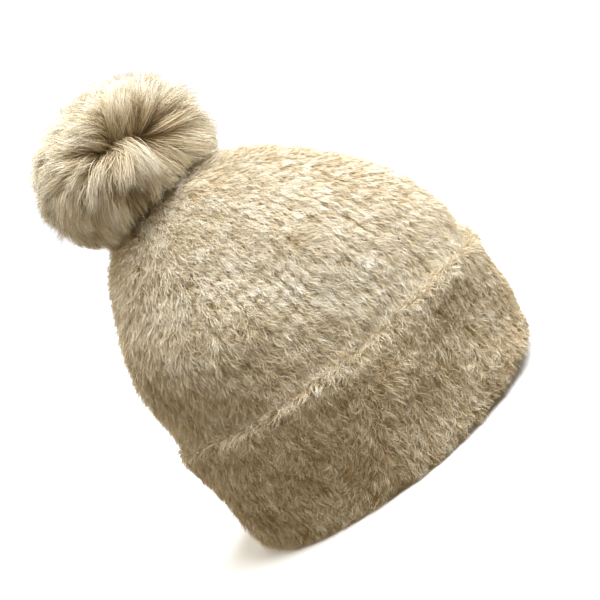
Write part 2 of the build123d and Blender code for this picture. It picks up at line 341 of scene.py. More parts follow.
DRAPE_COLUMNS, DRAPE_ROWS = 112, 40
DRAPE_FRAMES = 24
DRAPE_LOOSE = 0.008  # the knit is this much larger than the shape that it settles on
DRAPE_CAP = 1.9 * MM
DRAPE_SPAN = 9 * MM  # how far the cloth moves before the lining stops it
GRAVITY_SHARE = 0.1  # the lining inside carries the rest of its weight
CLOTH = {
    "quality": 6, "mass": 0.25, "tension_stiffness": 12, "compression_stiffness": 12,
    "shear_stiffness": 6, "bending_stiffness": 2.5, "shrink_min": -DRAPE_LOOSE,
}
drape_places = np.linspace(place_at(74 * MM), KNIT_END - 6 * MM, DRAPE_ROWS)


def settle():
    """Cloth simulation of the body's knit, hung from its crown over the cuff: how far it moved in or out."""
    share, place = np.meshgrid(np.arange(DRAPE_COLUMNS) / DRAPE_COLUMNS, drape_places)
    out = axes(smooth_hat, share, place)[2]
    points = smooth_hat(share, place) + out * full_side(share, place)[..., None]
    cloth_object = make_mesh("drape", points.reshape(-1, 3), [grid_faces(DRAPE_ROWS, DRAPE_COLUMNS)])
    held = cloth_object.vertex_groups.new(name="held")
    last = DRAPE_ROWS * DRAPE_COLUMNS
    held.add([*range(DRAPE_COLUMNS), *range(last - DRAPE_COLUMNS, last)], 1.0, "REPLACE")
    cloth = cloth_object.modifiers.new("cloth", "CLOTH")
    cloth.settings.vertex_group_mass = "held"
    for setting, value in CLOTH.items():
        setattr(cloth.settings, setting, value)
    cloth.settings.effector_weights.gravity = GRAVITY_SHARE
    cloth.collision_settings.use_collision = False
    cloth.point_cache.frame_start, cloth.point_cache.frame_end = 1, DRAPE_FRAMES
    scene = bpy.context.scene
    for number in range(1, DRAPE_FRAMES + 1):
        scene.frame_set(number)
    settled = cloth_object.evaluated_get(bpy.context.evaluated_depsgraph_get()).to_mesh()
    moved = np.empty(len(settled.vertices) * 3)
    settled.vertices.foreach_get("co", moved)
    shift = ((moved.reshape(points.shape) - points) * out).sum(-1)
    scene.frame_set(1)
    bpy.data.meshes.remove(cloth_object.data)
    shift = shift - shift.mean(1, keepdims=True)
    return DRAPE_CAP * np.tanh(shift / DRAPE_SPAN)


drape = settle()


def draped(share, place):
    """The simulated shift at any share and place, read between the cloth's own points."""
    share, place = matched(share, place)
    column = (share % 1.0) * DRAPE_COLUMNS
    row = np.interp(place, drape_places, np.arange(DRAPE_ROWS))
    left = np.floor(column).astype(int) % DRAPE_COLUMNS
    low = np.minimum(row.astype(int), DRAPE_ROWS - 2)
    a, b = column - np.floor(column), row - low
    right = (left + 1) % DRAPE_COLUMNS
    below = drape[low, left] * (1 - a) + drape[low, right] * a
    above = drape[low + 1, left] * (1 - a) + drape[low + 1, right] * a
    return below * (1 - b) + above * b


def slack(share, place):
    """How far the soft hat stands in or out of its smooth shape."""
    ends = ease(place, 0, 60 * MM) * ease(KNIT_END - place, 8 * MM, 50 * MM)
    return full_side(share, place) + SLUMP_DEPTH * slump(share, place) * ends + draped(share, place)


def layer(share, place, out):
    """Points at a distance outside the smooth hat, slumped with it, its rim lifted a little at the -X end."""
    points = smooth_hat(share, place)
    end = np.clip(-np.cos(tau * share), 0, 1) ** 1.2
    lift = RIM_LIFT * end * np.clip(1 - points[..., 2] / CUFF_TOP, 0, 1)
    points = points + axes(smooth_hat, share, place)[2] * (out + slack(share, place))[..., None]
    points[..., 2] += lift
    return points


def rib_crest(share):
    """1 on a rib's crest and 0 in the valley beside it."""
    return np.abs(np.cos(pi * RIBS * share)) ** 0.9


def rib_relief(share, place):
    """The ribs' height over their valleys, with one swell for each stitch."""
    crest = rib_crest(share)
    parity = np.floor(share * RIBS + 0.5) % 2
    swell = 0.22 * np.cos(tau * place / STITCH + pi * parity) * crest
    fade = 0.35 + 0.65 * ease(KNIT_END - place, 0, 18 * MM)
    return RIB_RELIEF * (crest - 1 + swell) * fade


def knit_outside(share, place):
    """The knit's outer surface."""
    return layer(share, place, rib_relief(share, place) - 0.3 * MM)


def cuff_section():
    """Heights and distances outside the hat: round the rim's fold, up the cuff's face, over its edge."""
    fold = [(5.0 - 4.4 * sin(a), 0.35 - 4.45 * cos(a)) for a in np.linspace(0, pi, 13)]
    face = [(h, 4.75 + 1.05 * h / 78) for h in np.linspace(7, 73, 44)]
    edge = [(75.2 + 2.7 * sin(a), 3.2 + 2.6 * cos(a)) for a in np.linspace(0, pi, 9)]
    return np.array(fold + face + edge) * MM


section = cuff_section()
section_run = np.concatenate([[0], np.cumsum(np.hypot(*np.diff(section, axis=0).T))])
CUFF_RUN = section_run[-1]


def on_section(share, height, out):
    """A point by height and distance outside the hat, down to below the knit's foot."""
    points = layer(share, place_at(np.maximum(height, FOLD)), out)
    points[..., 2] += np.minimum(height - FOLD, 0)
    return points


cuff_wave = Field(2, 7, 1.0)
cuff_slump = Field(3, 9, 45 * MM)
CUFF_WAVE_HEIGHT = 1.3 * MM
CUFF_SLUMP_DEPTH = 0.9 * MM
BACK_RISE = 4.5 * MM  # how much higher the cuff's top edge stands at the back
BACK_RISE_SPREAD = 0.13  # share of the girth


def cuff_surface(share, run):
    """The cuff's skin by share of the girth and run along its section."""
    share, run = matched(share, run)
    height = np.interp(run, section_run, section[:, 0])
    out = np.interp(run, section_run, section[:, 1])
    lift = BACK_RISE * np.exp(-(((share - BACK) / BACK_RISE_SPREAD) ** 2))
    lift = lift + CUFF_WAVE_HEIGHT * cuff_wave(share, 0)
    upper = ease(height, 5 * MM, 75 * MM)
    face = ease(out, 2 * MM, 4.6 * MM)
    relief = rib_relief(share, height) * face * 0.7 + CUFF_SLUMP_DEPTH * cuff_slump(share, height) * face
    return on_section(share, height + lift * upper, out + relief)


# ---- Materials ----
def add_node(tree, kind, inputs=None, **settings):
    """A node with its settings, and with its inputs as values or as sockets to join."""
    node = tree.nodes.new(kind)
    for key, value in settings.items():
        setattr(node, key, value)
    for key, value in (inputs or {}).items():
        if isinstance(value, bpy.types.NodeSocket):
            tree.links.new(value, node.inputs[key])
        else:
            node.inputs[key].default_value = value
    return node


class Nodes:
    """A procedural material under construction."""

    def __init__(self, name, roughness=0.9, metallic=0.0, sheen=0.0, sheen_tint=(1, 1, 1, 1), specular=0.3):
        self.material = bpy.data.materials.new(name)
        self.material.use_nodes = True
        self.tree = self.material.node_tree
        self.shader = self.tree.nodes["Principled BSDF"]
        self.place = add_node(self.tree, "ShaderNodeTexCoord").outputs["Object"]
        surface = {
            "Roughness": roughness, "Metallic": metallic, "Specular IOR Level": specular,
            "Sheen Weight": sheen, "Sheen Roughness": 0.5, "Sheen Tint": sheen_tint,
        }
        for socket, value in surface.items():
            self.shader.inputs[socket].default_value = value

    def paint(self, socket, source):
        """Joins a value or colour to the shader."""
        self.tree.links.new(source, self.shader.inputs[socket])

    def noise(self, scale, detail=3.0, roughness=0.6, stretch=None):
        """Noise from 0 to 1, in cycles a metre, stretched along the axes."""
        place = self.place
        if stretch:
            mapping = add_node(self.tree, "ShaderNodeMapping", {"Vector": place, "Scale": stretch})
            place = mapping.outputs["Vector"]
        inputs = {"Vector": place, "Scale": scale, "Detail": detail, "Roughness": roughness}
        return add_node(self.tree, "ShaderNodeTexNoise", inputs).outputs["Fac"]

    def wave(self, scale, axis):
        """A wave texture from 0 to 1."""
        inputs = {"Vector": self.place, "Scale": scale, "Distortion": 0.2, "Detail": 2.0}
        return add_node(self.tree, "ShaderNodeTexWave", inputs, bands_direction=axis).outputs["Fac"]

    def shade(self):
        """The strands' tone: their own, with painted shade at the roots, in the rib valleys and in the pom's
        parting and hollow, and painted light on the pom's top.
        """
        return add_node(self.tree, "ShaderNodeAttribute", attribute_name="shade").outputs["Fac"]

    def mix(self, first, second, share):
        """Two values blended."""
        inputs = {0: share, 2: first, 3: second}
        return add_node(self.tree, "ShaderNodeMix", inputs, data_type="FLOAT").outputs[0]

    def product(self, first, second):
        """Two values multiplied."""
        return add_node(self.tree, "ShaderNodeMath", {0: first, 1: second}, operation="MULTIPLY").outputs[0]

    def colour(self, source, stops):
        """Paints the base colour along a value: (position, (r, g, b))."""
        node = add_node(self.tree, "ShaderNodeValToRGB", {"Fac": source})
        elements = node.color_ramp.elements
        while len(elements) < len(stops):
            elements.new(0.5)
        for element, (position, colour) in zip(elements, stops):
            element.position = position
            element.color = (*colour, 1)
        self.paint("Base Color", node.outputs["Color"])

    def rough(self, source, low, high):
        """Roughness along a value."""
        inputs = {"Value": source, "To Min": low, "To Max": high}
        self.paint("Roughness", add_node(self.tree, "ShaderNodeMapRange", inputs).outputs["Result"])

    def bump(self, source, depth):
        """Bump of a depth in metres."""
        inputs = {"Height": source, "Strength": 1.0, "Distance": depth}
        self.paint("Normal", add_node(self.tree, "ShaderNodeBump", inputs).outputs["Normal"])


SAND_DARK = (0.20, 0.125, 0.052)
SAND_LOW = (0.46, 0.335, 0.175)
SAND_MID = (0.765, 0.65, 0.445)
SAND_HIGH = (0.93, 0.88, 0.75)
SAND_TIP = (0.98, 0.965, 0.92)


def hair_material(name, patches, patch_share, stops, **surface):
    """Hair, painted dark at the root as shade deep in the nap and pale at the tip, in patches a little lighter
    and darker.
    """
    m = Nodes(name, **surface)
    m.colour(m.mix(m.shade(), m.noise(patches, 2.0), patch_share), stops)
    return m.material


def grained_material(name, grain, patches, share, stops, depth, rough=None, **surface):
    """Fine grain or fibres over broader patches, in the colour, the bump and the roughness."""
    m = Nodes(name, **surface)
    fine = m.noise(*grain)
    m.colour(m.mix(fine, m.noise(*patches), share) if patches else fine, stops)
    if rough:
        m.rough(fine, *rough)
    m.bump(fine, depth)
    return m.material


def yarn_material(name, low, high, scale=1400):
    """Spun thread: a fine grain over broader patches, in its colour and its bump."""
    stops = [(0.3, low), (0.7, high)]
    surface = {"roughness": 0.8, "sheen": 0.25, "specular": 0.25}
    return grained_material(name, (scale, 3.0, 0.7), (160, 2.0), 0.3, stops, 0.15 * MM, **surface)


def label_material():
    """A satin ribbon: a fine weave both ways, over soft patches a little lighter and darker."""
    m = Nodes("label_weave", roughness=0.42, sheen=0.1, specular=0.45)
    weave = m.product(m.wave(900, "X"), m.wave(900, "Z"))
    tone = m.mix(weave, m.noise(160, 3.0), 0.5)
    m.colour(tone, [(0.1, (0.80, 0.77, 0.70)), (0.7, (0.93, 0.92, 0.88))])
    m.rough(weave, 0.36, 0.52)
    m.bump(weave, 0.06 * MM)
    return m.material


def metal_material(name, low, high, roughness):
    """Plated metal: fine handling scuffs and duller spots."""
    m = Nodes(name, metallic=1.0, roughness=roughness)
    scuffs = m.noise(1800, 4.0, 0.7)
    spots = m.noise(260, 3.0, 0.6)
    wear = m.mix(scuffs, spots, 0.6)
    m.colour(wear, [(0.3, low), (0.7, high)])
    m.rough(wear, roughness - 0.1, roughness + 0.16)
    m.bump(scuffs, 0.01 * MM)
    return m.material


nap_look = hair_material(
    "brushed_fibres", 90, 0.18,
    [(0.12, SAND_DARK), (0.34, SAND_LOW), (0.55, SAND_MID), (0.76, SAND_HIGH), (0.95, SAND_TIP)],
    roughness=0.75, sheen=0.15, sheen_tint=(1.0, 0.94, 0.82, 1), specular=0.25,
)
# The knit seen between the nap's fibres is painted darker than its yarn, as painted shade under the nap.
knit_look = grained_material(
    "knit_ground", (900, 4.0, 0.7, (1, 1, 0.25)), (60, 3.0), 0.4,
    [(0.25, SAND_DARK), (0.5, SAND_LOW), (0.75, SAND_MID)], 0.4 * MM,
    roughness=0.95, sheen=0.2, sheen_tint=(1.0, 0.92, 0.78, 1), specular=0.15,
)
fur_look = hair_material(
    "pom_fur_fibres", 70, 0.15,
    [(0.10, (0.10, 0.058, 0.024)), (0.32, (0.40, 0.285, 0.15)), (0.55, (0.74, 0.62, 0.42)),
     (0.76, (0.94, 0.89, 0.76)), (0.95, (0.985, 0.965, 0.91))],
    roughness=0.55, sheen=0.1, sheen_tint=(1.0, 0.95, 0.85, 1), specular=0.35,
)
fleece_look = grained_material(
    "fleece", (520, 4.0, 0.75), (45, 3.0), 0.35,
    [(0.28, (0.50, 0.43, 0.32)), (0.5, (0.72, 0.65, 0.52)), (0.72, (0.86, 0.80, 0.68))], 0.6 * MM,
    roughness=0.95, sheen=0.35, sheen_tint=(1.0, 0.95, 0.88, 1), specular=0.1,
)
yarn_look = yarn_material("sand_yarn", (0.34, 0.25, 0.14), (0.72, 0.60, 0.41))
thread_look = yarn_material("sewing_thread", (0.52, 0.43, 0.30), (0.84, 0.76, 0.62), 2600)
felt_look = grained_material(
    "pressed_felt", (700, 5.0, 0.8), (130, 3.0), 0.4,
    [(0.3, (0.33, 0.25, 0.15)), (0.7, (0.66, 0.56, 0.40))], 0.35 * MM,
    roughness=1.0, sheen=0.3, specular=0.1,
)
label_look = label_material()
filling_look = grained_material(
    "filling_fibres", (240, 6.0, 0.8), None, 0,
    [(0.3, (0.62, 0.59, 0.53)), (0.65, (0.92, 0.90, 0.85))], 1.0 * MM,
    roughness=1.0, sheen=0.4, specular=0.1,
)
disc_look = grained_material(
    "moulded_disc", (2200, 3.0, 0.6), (90, 3.0), 0.7,
    [(0.3, (0.72, 0.69, 0.62)), (0.7, (0.86, 0.84, 0.78))], 0.03 * MM,
    rough=(0.42, 0.62), roughness=0.5, specular=0.5,
)

# ---- Knitted body and cuff ----
columns = RIBS * RIB_COLUMNS
shares = np.arange(columns) / columns
COVERED = place_at(58 * MM)  # the cuff hides the knit below this, so its rows are further apart there
outer_places = np.concatenate([np.linspace(0, COVERED, 14)[:-1], np.arange(COVERED, KNIT_END, 1.55 * MM)])
inner_places = np.linspace(KNIT_END, 0, 30)
outer = knit_outside(shares[None], outer_places[:, None])
inner_relief = 0.4 * rib_relief(shares[None], inner_places[:, None])
inner = layer(shares[None], inner_places[:, None], -KNIT_WALL + inner_relief)
knit = rolled_up("knit_shell", np.concatenate([outer, inner]), knit_look, "hat", ["knit_body"])

cuff_rows = np.linspace(0, CUFF_RUN, 62)
cuff_skin = cuff_surface(shares[None], cuff_rows[:, None])
inner_heights = np.linspace(72 * MM, FOLD, 7)
cuff_inner = on_section(shares[None], inner_heights[:, None], 0.45 * MM)
cuff = rolled_up("cuff_band", np.concatenate([cuff_skin, cuff_inner]), knit_look, "hat", ["cuff"])

# ---- Nap: fine fibres brushed out of the knit, in small locks ----
swirl = Field(4, 7, 110 * MM)
swirl_fine = Field(5, 26, 34 * MM, 16)
fluff_field = Field(6, 12, 70 * MM)
tone_field = Field(7, 10, 80 * MM)
tone_fine = Field(8, 40, 22 * MM, 16)
NAP_WIDTH = 0.25 * MM
STRAY_WIDTH = 0.2 * MM
NAP_TAPER = np.array([1.0, 0.95, 0.75, 0.4])
FIBRES_PER_PIECE = 39000


def fluff(share, place):
    """0 where the nap lies close along the ribs, 1 where it is long and swirls over them."""
    side = ease(np.cos(tau * share), -0.15, 0.85)
    foot = 1 - ease(place, place_at(88 * MM), place_at(150 * MM))
    return np.clip(0.12 + 0.62 * side + 0.42 * foot + 0.3 * fluff_field(share, place), 0, 1)


def comb(surface, top, lie, per_lock, rng):
    """Locks of fibres on a surface: a guide line for each, and the fibres that gather about it."""
    share, place, angle, length, rise, tone, spread = lie
    s = np.linspace(0, 1, 4)
    around, up, out = axes(surface, share, place, top)
    way = around * np.sin(angle)[:, None] - up * np.cos(angle)[:, None]
    root = surface(share, place)
    guide = length[:, None, None] * (
        s[None, :, None] * np.cos(rise)[:, None, None] * way[:, None]
        + 0.75 * np.sin(s * pi * 0.62)[None, :, None] * np.sin(rise)[:, None, None] * out[:, None]
    )
    pick = np.repeat(np.arange(len(share)), per_lock)
    n = len(pick)
    aside = rng.normal(0, 1, (2, n)) * spread[pick] * (per_lock > 1)
    gather = (1 - 0.5 * s**0.8)[None, :, None]
    offset = aside[0][:, None] * around[pick] + aside[1][:, None] * up[pick]
    own = rng.uniform(0.6, 1.12, n)[:, None, None]
    bend = rng.normal(0, 0.28, (2, n)) * length[pick]
    bow = rng.normal(0, 0.20, n) * length[pick]
    across = np.cross(out[pick], way[pick])
    paths = (
        root[pick][:, None]
        + guide[pick] * own
        + offset[:, None] * gather
        + (s**1.6)[None, :, None] * (bend[0][:, None] * across + bend[1][:, None] * out[pick] * 0.6)[:, None]
        + np.sin(s * pi)[None, :, None] * (bow[:, None] * across)[:, None]
    )
    twist = rng.uniform(-0.9, 0.9, n)
    side = across * np.cos(twist)[:, None] + out[pick] * np.sin(twist)[:, None]
    # Each fibre is painted darker towards its root, as painted shade deep in the nap, and paler towards its
    # tip.
    root_shade_to_tip = np.interp(s, (0, 0.3, 1), (-0.28, -0.07, 0.13))
    return paths, side, (tone[pick] + rng.normal(0, 0.10, n))[:, None] + root_shade_to_tip[None]


def brush(name, surface, top, lie, per_lock, rng, width):
    """Combs a surface, in pieces that stay small."""
    made = []
    each = FIBRES_PER_PIECE // per_lock
    for i, low in enumerate(range(0, len(lie[0]), each)):
        part = [values[low:low + each] for values in lie]
        paths, side, shade = comb(surface, top, part, per_lock, rng)
        piece = strands(f"{name}_{i + 1}", paths, width * NAP_TAPER, side, shade)
        made.append(give(piece, nap_look, "hat"))
    return made


def dashes(rib, stitch):
    """Light and dark stitch lengths along the ribs, from -1 to 1."""
    row = np.floor(rib)
    return np.sin(tau * (0.31 * stitch + 0.37 * row)) * np.sin(tau * (0.083 * stitch + 0.61 * row) + 1)


def body_lie(place, rng, wild):
    """How the body's nap lies: down the ribs, in soft swirls where it is long."""
    count = len(place)
    rib = rng.integers(0, RIBS, count)
    share = (rib + np.clip(rng.normal(0, 0.12, count), -0.4, 0.4)) / RIBS
    close = fluff(share, place)
    wild = wild * (0.15 + 0.85 * close)
    loose = np.clip(close + wild, 0, 1)
    share = (share + loose * rng.normal(0, 0.25, count) / RIBS) % 1.0
    angle = loose * (0.6 * swirl(share, place) + 0.65 * swirl_fine(share, place))
    angle = angle + rng.normal(0, 0.08 + 0.26 * loose)
    swept = np.exp(-(((share - 0.20) / 0.075) ** 2) - ((place - place_at(118 * MM)) / (42 * MM)) ** 2)
    angle = angle + 0.62 * swept + rng.normal(0, 1.5, count) * wild
    length = (6.4 + 4.4 * loose + rng.uniform(-1.8, 1.8, count)) * MM
    rise = np.clip(0.22 + 0.18 * loose + rng.normal(0, 0.09, count), 0.06, 1.0)
    rise = np.where(rng.uniform(0, 1, count) < 0.03, rise + 0.3, rise)
    # Where the nap lies close, the rib term paints shade in the ribs' valleys and light on their crests, with
    # light and dark dashes along them.
    ribs = 0.72 * (rib_crest(share) - 0.74) + 0.09 * dashes(share * RIBS, place / STITCH)
    tone = 0.60 + 0.05 * tone_field(share, place) + 0.05 * tone_fine(share, place)
    tone = tone + rng.normal(0, 0.045, count) + ribs * (1 - close) + 0.06 * wild
    return share, place, angle, length, rise, tone, (0.75 + 0.4 * loose) * MM


PARTING_SHARE = BACK - 15 * MM / GIRTH  # where the cuff's nap parts, beside the seam


def cuff_lie(run, rng, wild):
    """How the cuff's nap lies: shorter and messier, and parted at the back seam."""
    count = len(run)
    rib = rng.integers(0, RIBS, count)
    share = (rib + rng.normal(0, 0.2, count)) / RIBS % 1.0
    loose = np.clip(fluff(share, run) - 0.25 + wild, 0, 1)
    share = (share + loose * rng.normal(0, 0.25, count) / RIBS) % 1.0
    angle = (0.35 + 0.65 * loose) * (0.8 * swirl(share, run + 0.5) + 0.9 * swirl_fine(share, run + 0.3))
    angle = angle + rng.normal(0, 0.4, count) + rng.normal(0, 1.8, count) * wild
    beside = (share - PARTING_SHARE) * GIRTH - 0.28 * (run - 20 * MM)
    low = 1 - ease(run, 38 * MM, 62 * MM)
    left = ease(-beside, -1 * MM, 3 * MM) * (1 - ease(-beside, 14 * MM, 42 * MM)) * low
    right = ease(beside, -1 * MM, 3 * MM) * (1 - ease(beside, 10 * MM, 34 * MM)) * low
    angle = angle * (1 - 0.5 * left - 0.5 * right) - 0.8 * left + 0.15 * right
    length = rng.uniform(4.5, 8.5, count) * MM
    edge = ease(run, CUFF_RUN - 14 * MM, CUFF_RUN - 5 * MM)
    turned_up = rng.uniform(0, 1, count) < 0.3 * edge
    angle = np.where(turned_up, angle + pi, angle) + rng.normal(0, 0.45, count) * edge
    length = length * (1 + 0.25 * edge)
    rise = np.clip(0.30 + 0.05 * edge + rng.normal(0, 0.13, count), 0.1, 0.9)
    tone = 0.53 + 0.06 * tone_field(share, run + 1) + 0.06 * tone_fine(share, run + 1)
    tone = tone + rng.normal(0, 0.06, count) - 0.05 * left + 0.04 * right + 0.12 * wild + 0.10 * edge
    return share, run, angle, length, rise, tone, np.full(count, 1.0 * MM)


rng = np.random.default_rng(SEED)
CUFF_LOW, CUFF_HIGH = 1 * MM, CUFF_RUN - 2 * MM


def body_places(count):
    """Places for the body's locks, spread evenly over its area."""
    line = np.linspace(place_at(71 * MM), KNIT_END - 2 * MM, 400)
    share = np.cumsum(girth_at(line))
    return np.interp(rng.uniform(0, 1, count), (share - share[0]) / (share[-1] - share[0]), line)


def cuff_runs(count):
    """Places for the cuff's locks, closer together over its top edge."""
    runs = rng.uniform(CUFF_LOW, CUFF_HIGH, count)
    runs[: count // 12] = rng.uniform(CUFF_RUN - 16 * MM, CUFF_HIGH, count // 12)
    return runs


# Name, locks, how wild they lie, fibres in each lock and their width.
COATS = (
    ("body_nap", 19500, 0.0, 9, NAP_WIDTH),
    ("body_strays", 56000, 0.55, 1, STRAY_WIDTH),
    ("cuff_nap", 11500, 0.0, 9, NAP_WIDTH),
    ("cuff_strays", 34000, 0.6, 1, STRAY_WIDTH),
)
body_nap, cuff_nap = [], []
for name, count, wild, per_lock, width in COATS:
    if name.startswith("body"):
        lie = body_lie(body_places(count), rng, wild)
        body_nap += brush(name, knit_outside, MERIDIAN, lie, per_lock, rng, width)
    else:
        lie = cuff_lie(cuff_runs(count), rng, wild)
        cuff_nap += brush(name, cuff_surface, CUFF_RUN, lie, per_lock, rng, width)

# ---- Fleece lining: four gores ----
GORES = (("left", "back", 0.0), ("right", "back", 0.25), ("right", "front", 0.5), ("left", "front", 0.75))
gore_columns, gore_rows = 74, 110
SEAM_GAP = 0.00016  # share of the girth
for side, end, start in GORES:
    gore_rng = np.random.default_rng(SEED + int(start * 100))
    across = np.linspace(0, 1, gore_columns)
    share = start + SEAM_GAP / 2 + across * (0.25 - SEAM_GAP)
    place = np.linspace(place_at(LINING_FOOT), MERIDIAN, gore_rows)
    share_grid, place_grid = np.meshgrid(share, place)
    edge = np.minimum(across, 1 - across)[None] * girth_at(place_grid) * 0.25
    drop = LINING_INSET + LINING_SLACK * ease(place_grid, place_at(196 * MM), place_at(208 * MM))
    groove = np.exp(-((edge / (2.2 * MM)) ** 2)) * 1.1 * MM
    pill = gore_rng.normal(0, 0.16 * MM, share_grid.shape)
    hem = ease(place_grid, place[0], place[0] + 7 * MM)
    seam_roll = np.exp(-(((edge - 4.5 * MM) / (2.2 * MM)) ** 2)) * 0.5 * MM
    back_face = layer(share_grid, place_grid, -drop)
    wall = FLEECE_WALL * (0.82 + 0.18 * hem) - groove + seam_roll
    gore = closed_sheet(f"fleece_{side}_{end}", back_face, layer(share_grid, place_grid, -(drop + wall) + pill))
    give(gore, fleece_look, "hat", [f"lining_{end}_{side}"])


# ---- Stitches and yarns ----
def bar(start, end, lift, steps=9):
    """A stitch from one point to another that arches over its middle."""
    s = np.linspace(0, 1, steps)[:, None]
    return np.asarray(start) * (1 - s) + np.asarray(end) * s + np.asarray(lift) * np.sin(pi * s)


HEM_STITCHES = 118
HEM_PLACE = place_at(27.0 * MM)
HEM_OUT = -LINING_INSET - FLEECE_WALL
hem_paths = []
for i in range(HEM_STITCHES):
    low, high = i / HEM_STITCHES, (i + 0.62) / HEM_STITCHES
    ends = layer(np.array([low, high]), np.full(2, HEM_PLACE), HEM_OUT + 0.1 * MM)
    middle = layer(np.array([(low + high) / 2]), np.array([HEM_PLACE]), HEM_OUT - 0.7 * MM)[0]
    hem_paths.append(bar(ends[0], ends[1], middle - ends.mean(0), 7))
sew("hem_stitches", hem_paths, 0.42 * MM, thread_look, "hat", ["lining_hem_thread"], pitch=2.2, sides=6)

seam_paths = []
for place in np.arange(place_at(10 * MM), KNIT_END - 6 * MM, 5.2 * MM):
    half = 2.4 * MM / girth_at(place)
    both = np.array([BACK - half, BACK + half])
    ends = layer(both, np.array([place, place + 1.2 * MM]), -KNIT_WALL + 0.2 * MM)
    seam_paths.append(bar(ends[0], ends[1], (0, -0.3 * MM, 0), 9))
sew("seam_stitches", seam_paths, 0.62 * MM, yarn_look, "hat", ["back_seam_yarn"], sides=7)

tack_paths = []
for side_share in (0.0, 0.5):
    for shift in (-2, 2):
        share = np.full(3, side_share + shift * MM / GIRTH)
        height = np.array([64.5, 66.0, 67.5]) * MM
        pts = layer(share, place_at(height), np.array([-3.2, 2.6, -3.2]) * MM)
        tack_paths.append(bar(pts[0], pts[2], pts[1] - (pts[0] + pts[2]) / 2, 11))
sew("cuff_tack_stitches", tack_paths, 0.6 * MM, yarn_look, "hat", ["cuff_tacks"], sides=7)

# The pom, its press stud and its stitches stand about one axis, which leans with the crown.
across, depth, axis = np.array(POM_ACROSS), np.array((0.0, 1.0, 0.0)), np.array(POM_AXIS)
crown = np.array(CROWN)


def round_axis(turn):
    """Ways out from the axis, at angles round it."""
    return np.cos(turn)[:, None] * across + np.sin(turn)[:, None] * depth


def loop(height, radius, steps, wobble):
    """A wavering circle of points about the axis, at a height in mm above the crown."""
    turn = tau * np.arange(steps) / steps
    near = radius + wobble * np.sin(turn * 5)
    return crown + axis * height * MM + near[:, None] * round_axis(turn)


gather_loops = [loop(height, radius * MM, 64, 0.25 * MM) for height, radius in ((-1.5, 4.9), (-2.5, 4.6))]
RING = {"plies": 3, "pitch": 2.2, "sides": 7, "closed": True}
sew("crown_gather_loop", gather_loops, 0.75 * MM, yarn_look, "hat", ["crown_gather_yarn"], **RING)


def turned(name, profile, material, body, replaces, segments, wobble, seed):
    """A round piece turned about the pom's axis from a closed outline of (radius, height) in mm."""
    outline = np.array(profile, float) * MM
    turn = tau * np.arange(segments) / segments
    noise = np.random.default_rng(SEED + seed).normal(0, wobble, (len(outline), segments))
    out, up = (outline[:, 0, None] + noise)[..., None], (outline[:, 1, None] + noise)[..., None]
    points = crown + out * round_axis(turn)[None] + up * axis
    return rolled_up(name, points, material, body, replaces)


def rounded(low_r, high_r, low_h, high_h, corner):
    """The outline of a ring of rectangular section with soft corners, its long sides in six steps."""
    near, far, foot, top = low_r + corner, high_r - corner, low_h + corner, high_h - corner
    out = []
    for i, (r, h) in enumerate(((far, foot), (far, top), (near, top), (near, foot))):
        for k in range(5):
            a = radians(90 * (i - 1 + k / 4))
            out.append((r + corner * cos(a), h + corner * sin(a)))
    dense = []
    for a, b in zip(out, out[1:] + out[:1]):
        count = 6 if np.hypot(b[0] - a[0], b[1] - a[1]) > 1.2 else 1
        dense += [(a[0] + (b[0] - a[0]) * k / count, a[1] + (b[1] - a[1]) * k / count) for k in range(count)]
    return dense


patch_outline = rounded(3.4, 11.4, -5.8, -4.3, 0.5)
patch = turned("felt_patch", patch_outline, felt_look, "hat", ["crown_patch"], 96, 0.07 * MM, 3)


def winding(centre_low, centre_high, radius, turns, steps, wobble=0.0):
    """A thread wound up and down round the axis, in mm."""
    s = np.linspace(0, 1, steps)
    turn = tau * turns * s
    height = centre_low + (centre_high - centre_low) * (0.5 - 0.5 * np.cos(s * pi * 3))
    near = radius + wobble * np.sin(turn * 1.7)
    return crown + near[:, None] * round_axis(turn) * MM + height[:, None] * axis * MM


anchor_paths = [
    winding(-5.4, -0.7, 2.35, 19, 520, 0.12), winding(-6.7, -6.0, 3.6, 9, 300, 0.5),
    winding(-6.5, -5.9, 2.4, 6, 200, 0.5),
]
sew("anchor_thread_knot", anchor_paths, 0.42 * MM, thread_look, "hat", ["socket_anchor_thread"])
shank_paths = [winding(1.0, 2.1, 1.75, 9, 260, 0.15), winding(0.9, 2.2, 0.8, 8, 160)]
sew("shank_winding", shank_paths, 0.38 * MM, thread_look, "thread_shank", ["thread_shank"])


def hole_ways(k):
    """The way out to one of a press stud half's four holes, and the way across it."""
    a = radians(45 + 90 * k)
    return across * cos(a) + depth * sin(a), -across * sin(a) + depth * cos(a)


def sewn(name, radius, low, high, body, replaces, cross_height):
    """The stitches of a press stud half: a tuft up through each hole, and a cross between the holes."""
    paths = []
    for k in range(4):
        way, side = hole_ways(k)
        for shift in (-0.22, 0.22):
            hole = crown + (way * radius + side * shift) * MM
            paths.append(bar(hole + axis * low * MM, hole + axis * high * MM, way * 0.1 * MM, 7))
    for k in range(2):
        way, side = hole_ways(k)
        for shift in (-0.35, 0.35):
            middle = crown + axis * cross_height * MM
            ends = [middle + (way * radius * sign + side * shift) * MM for sign in (-1, 1)]
            paths.append(bar(*ends, axis * 0.0, 15))
    sew(name, paths, 0.3 * MM, thread_look, body, replaces)


sewn("socket_sewing", 6.2, 4.5, 6.2, "snap_socket", ["socket_stitches"], 4.65)
post_paths = [winding(3.6, 4.3, 1.6, 7, 180, 0.1), winding(3.6, 4.3, 0.7, 5, 110)]
sew("socket_post_winding", post_paths, 0.34 * MM, thread_look, "snap_socket")
sewn("stud_sewing", 5.4, 8.9, 10.5, "pom", ["stud_stitches"], 10.0)

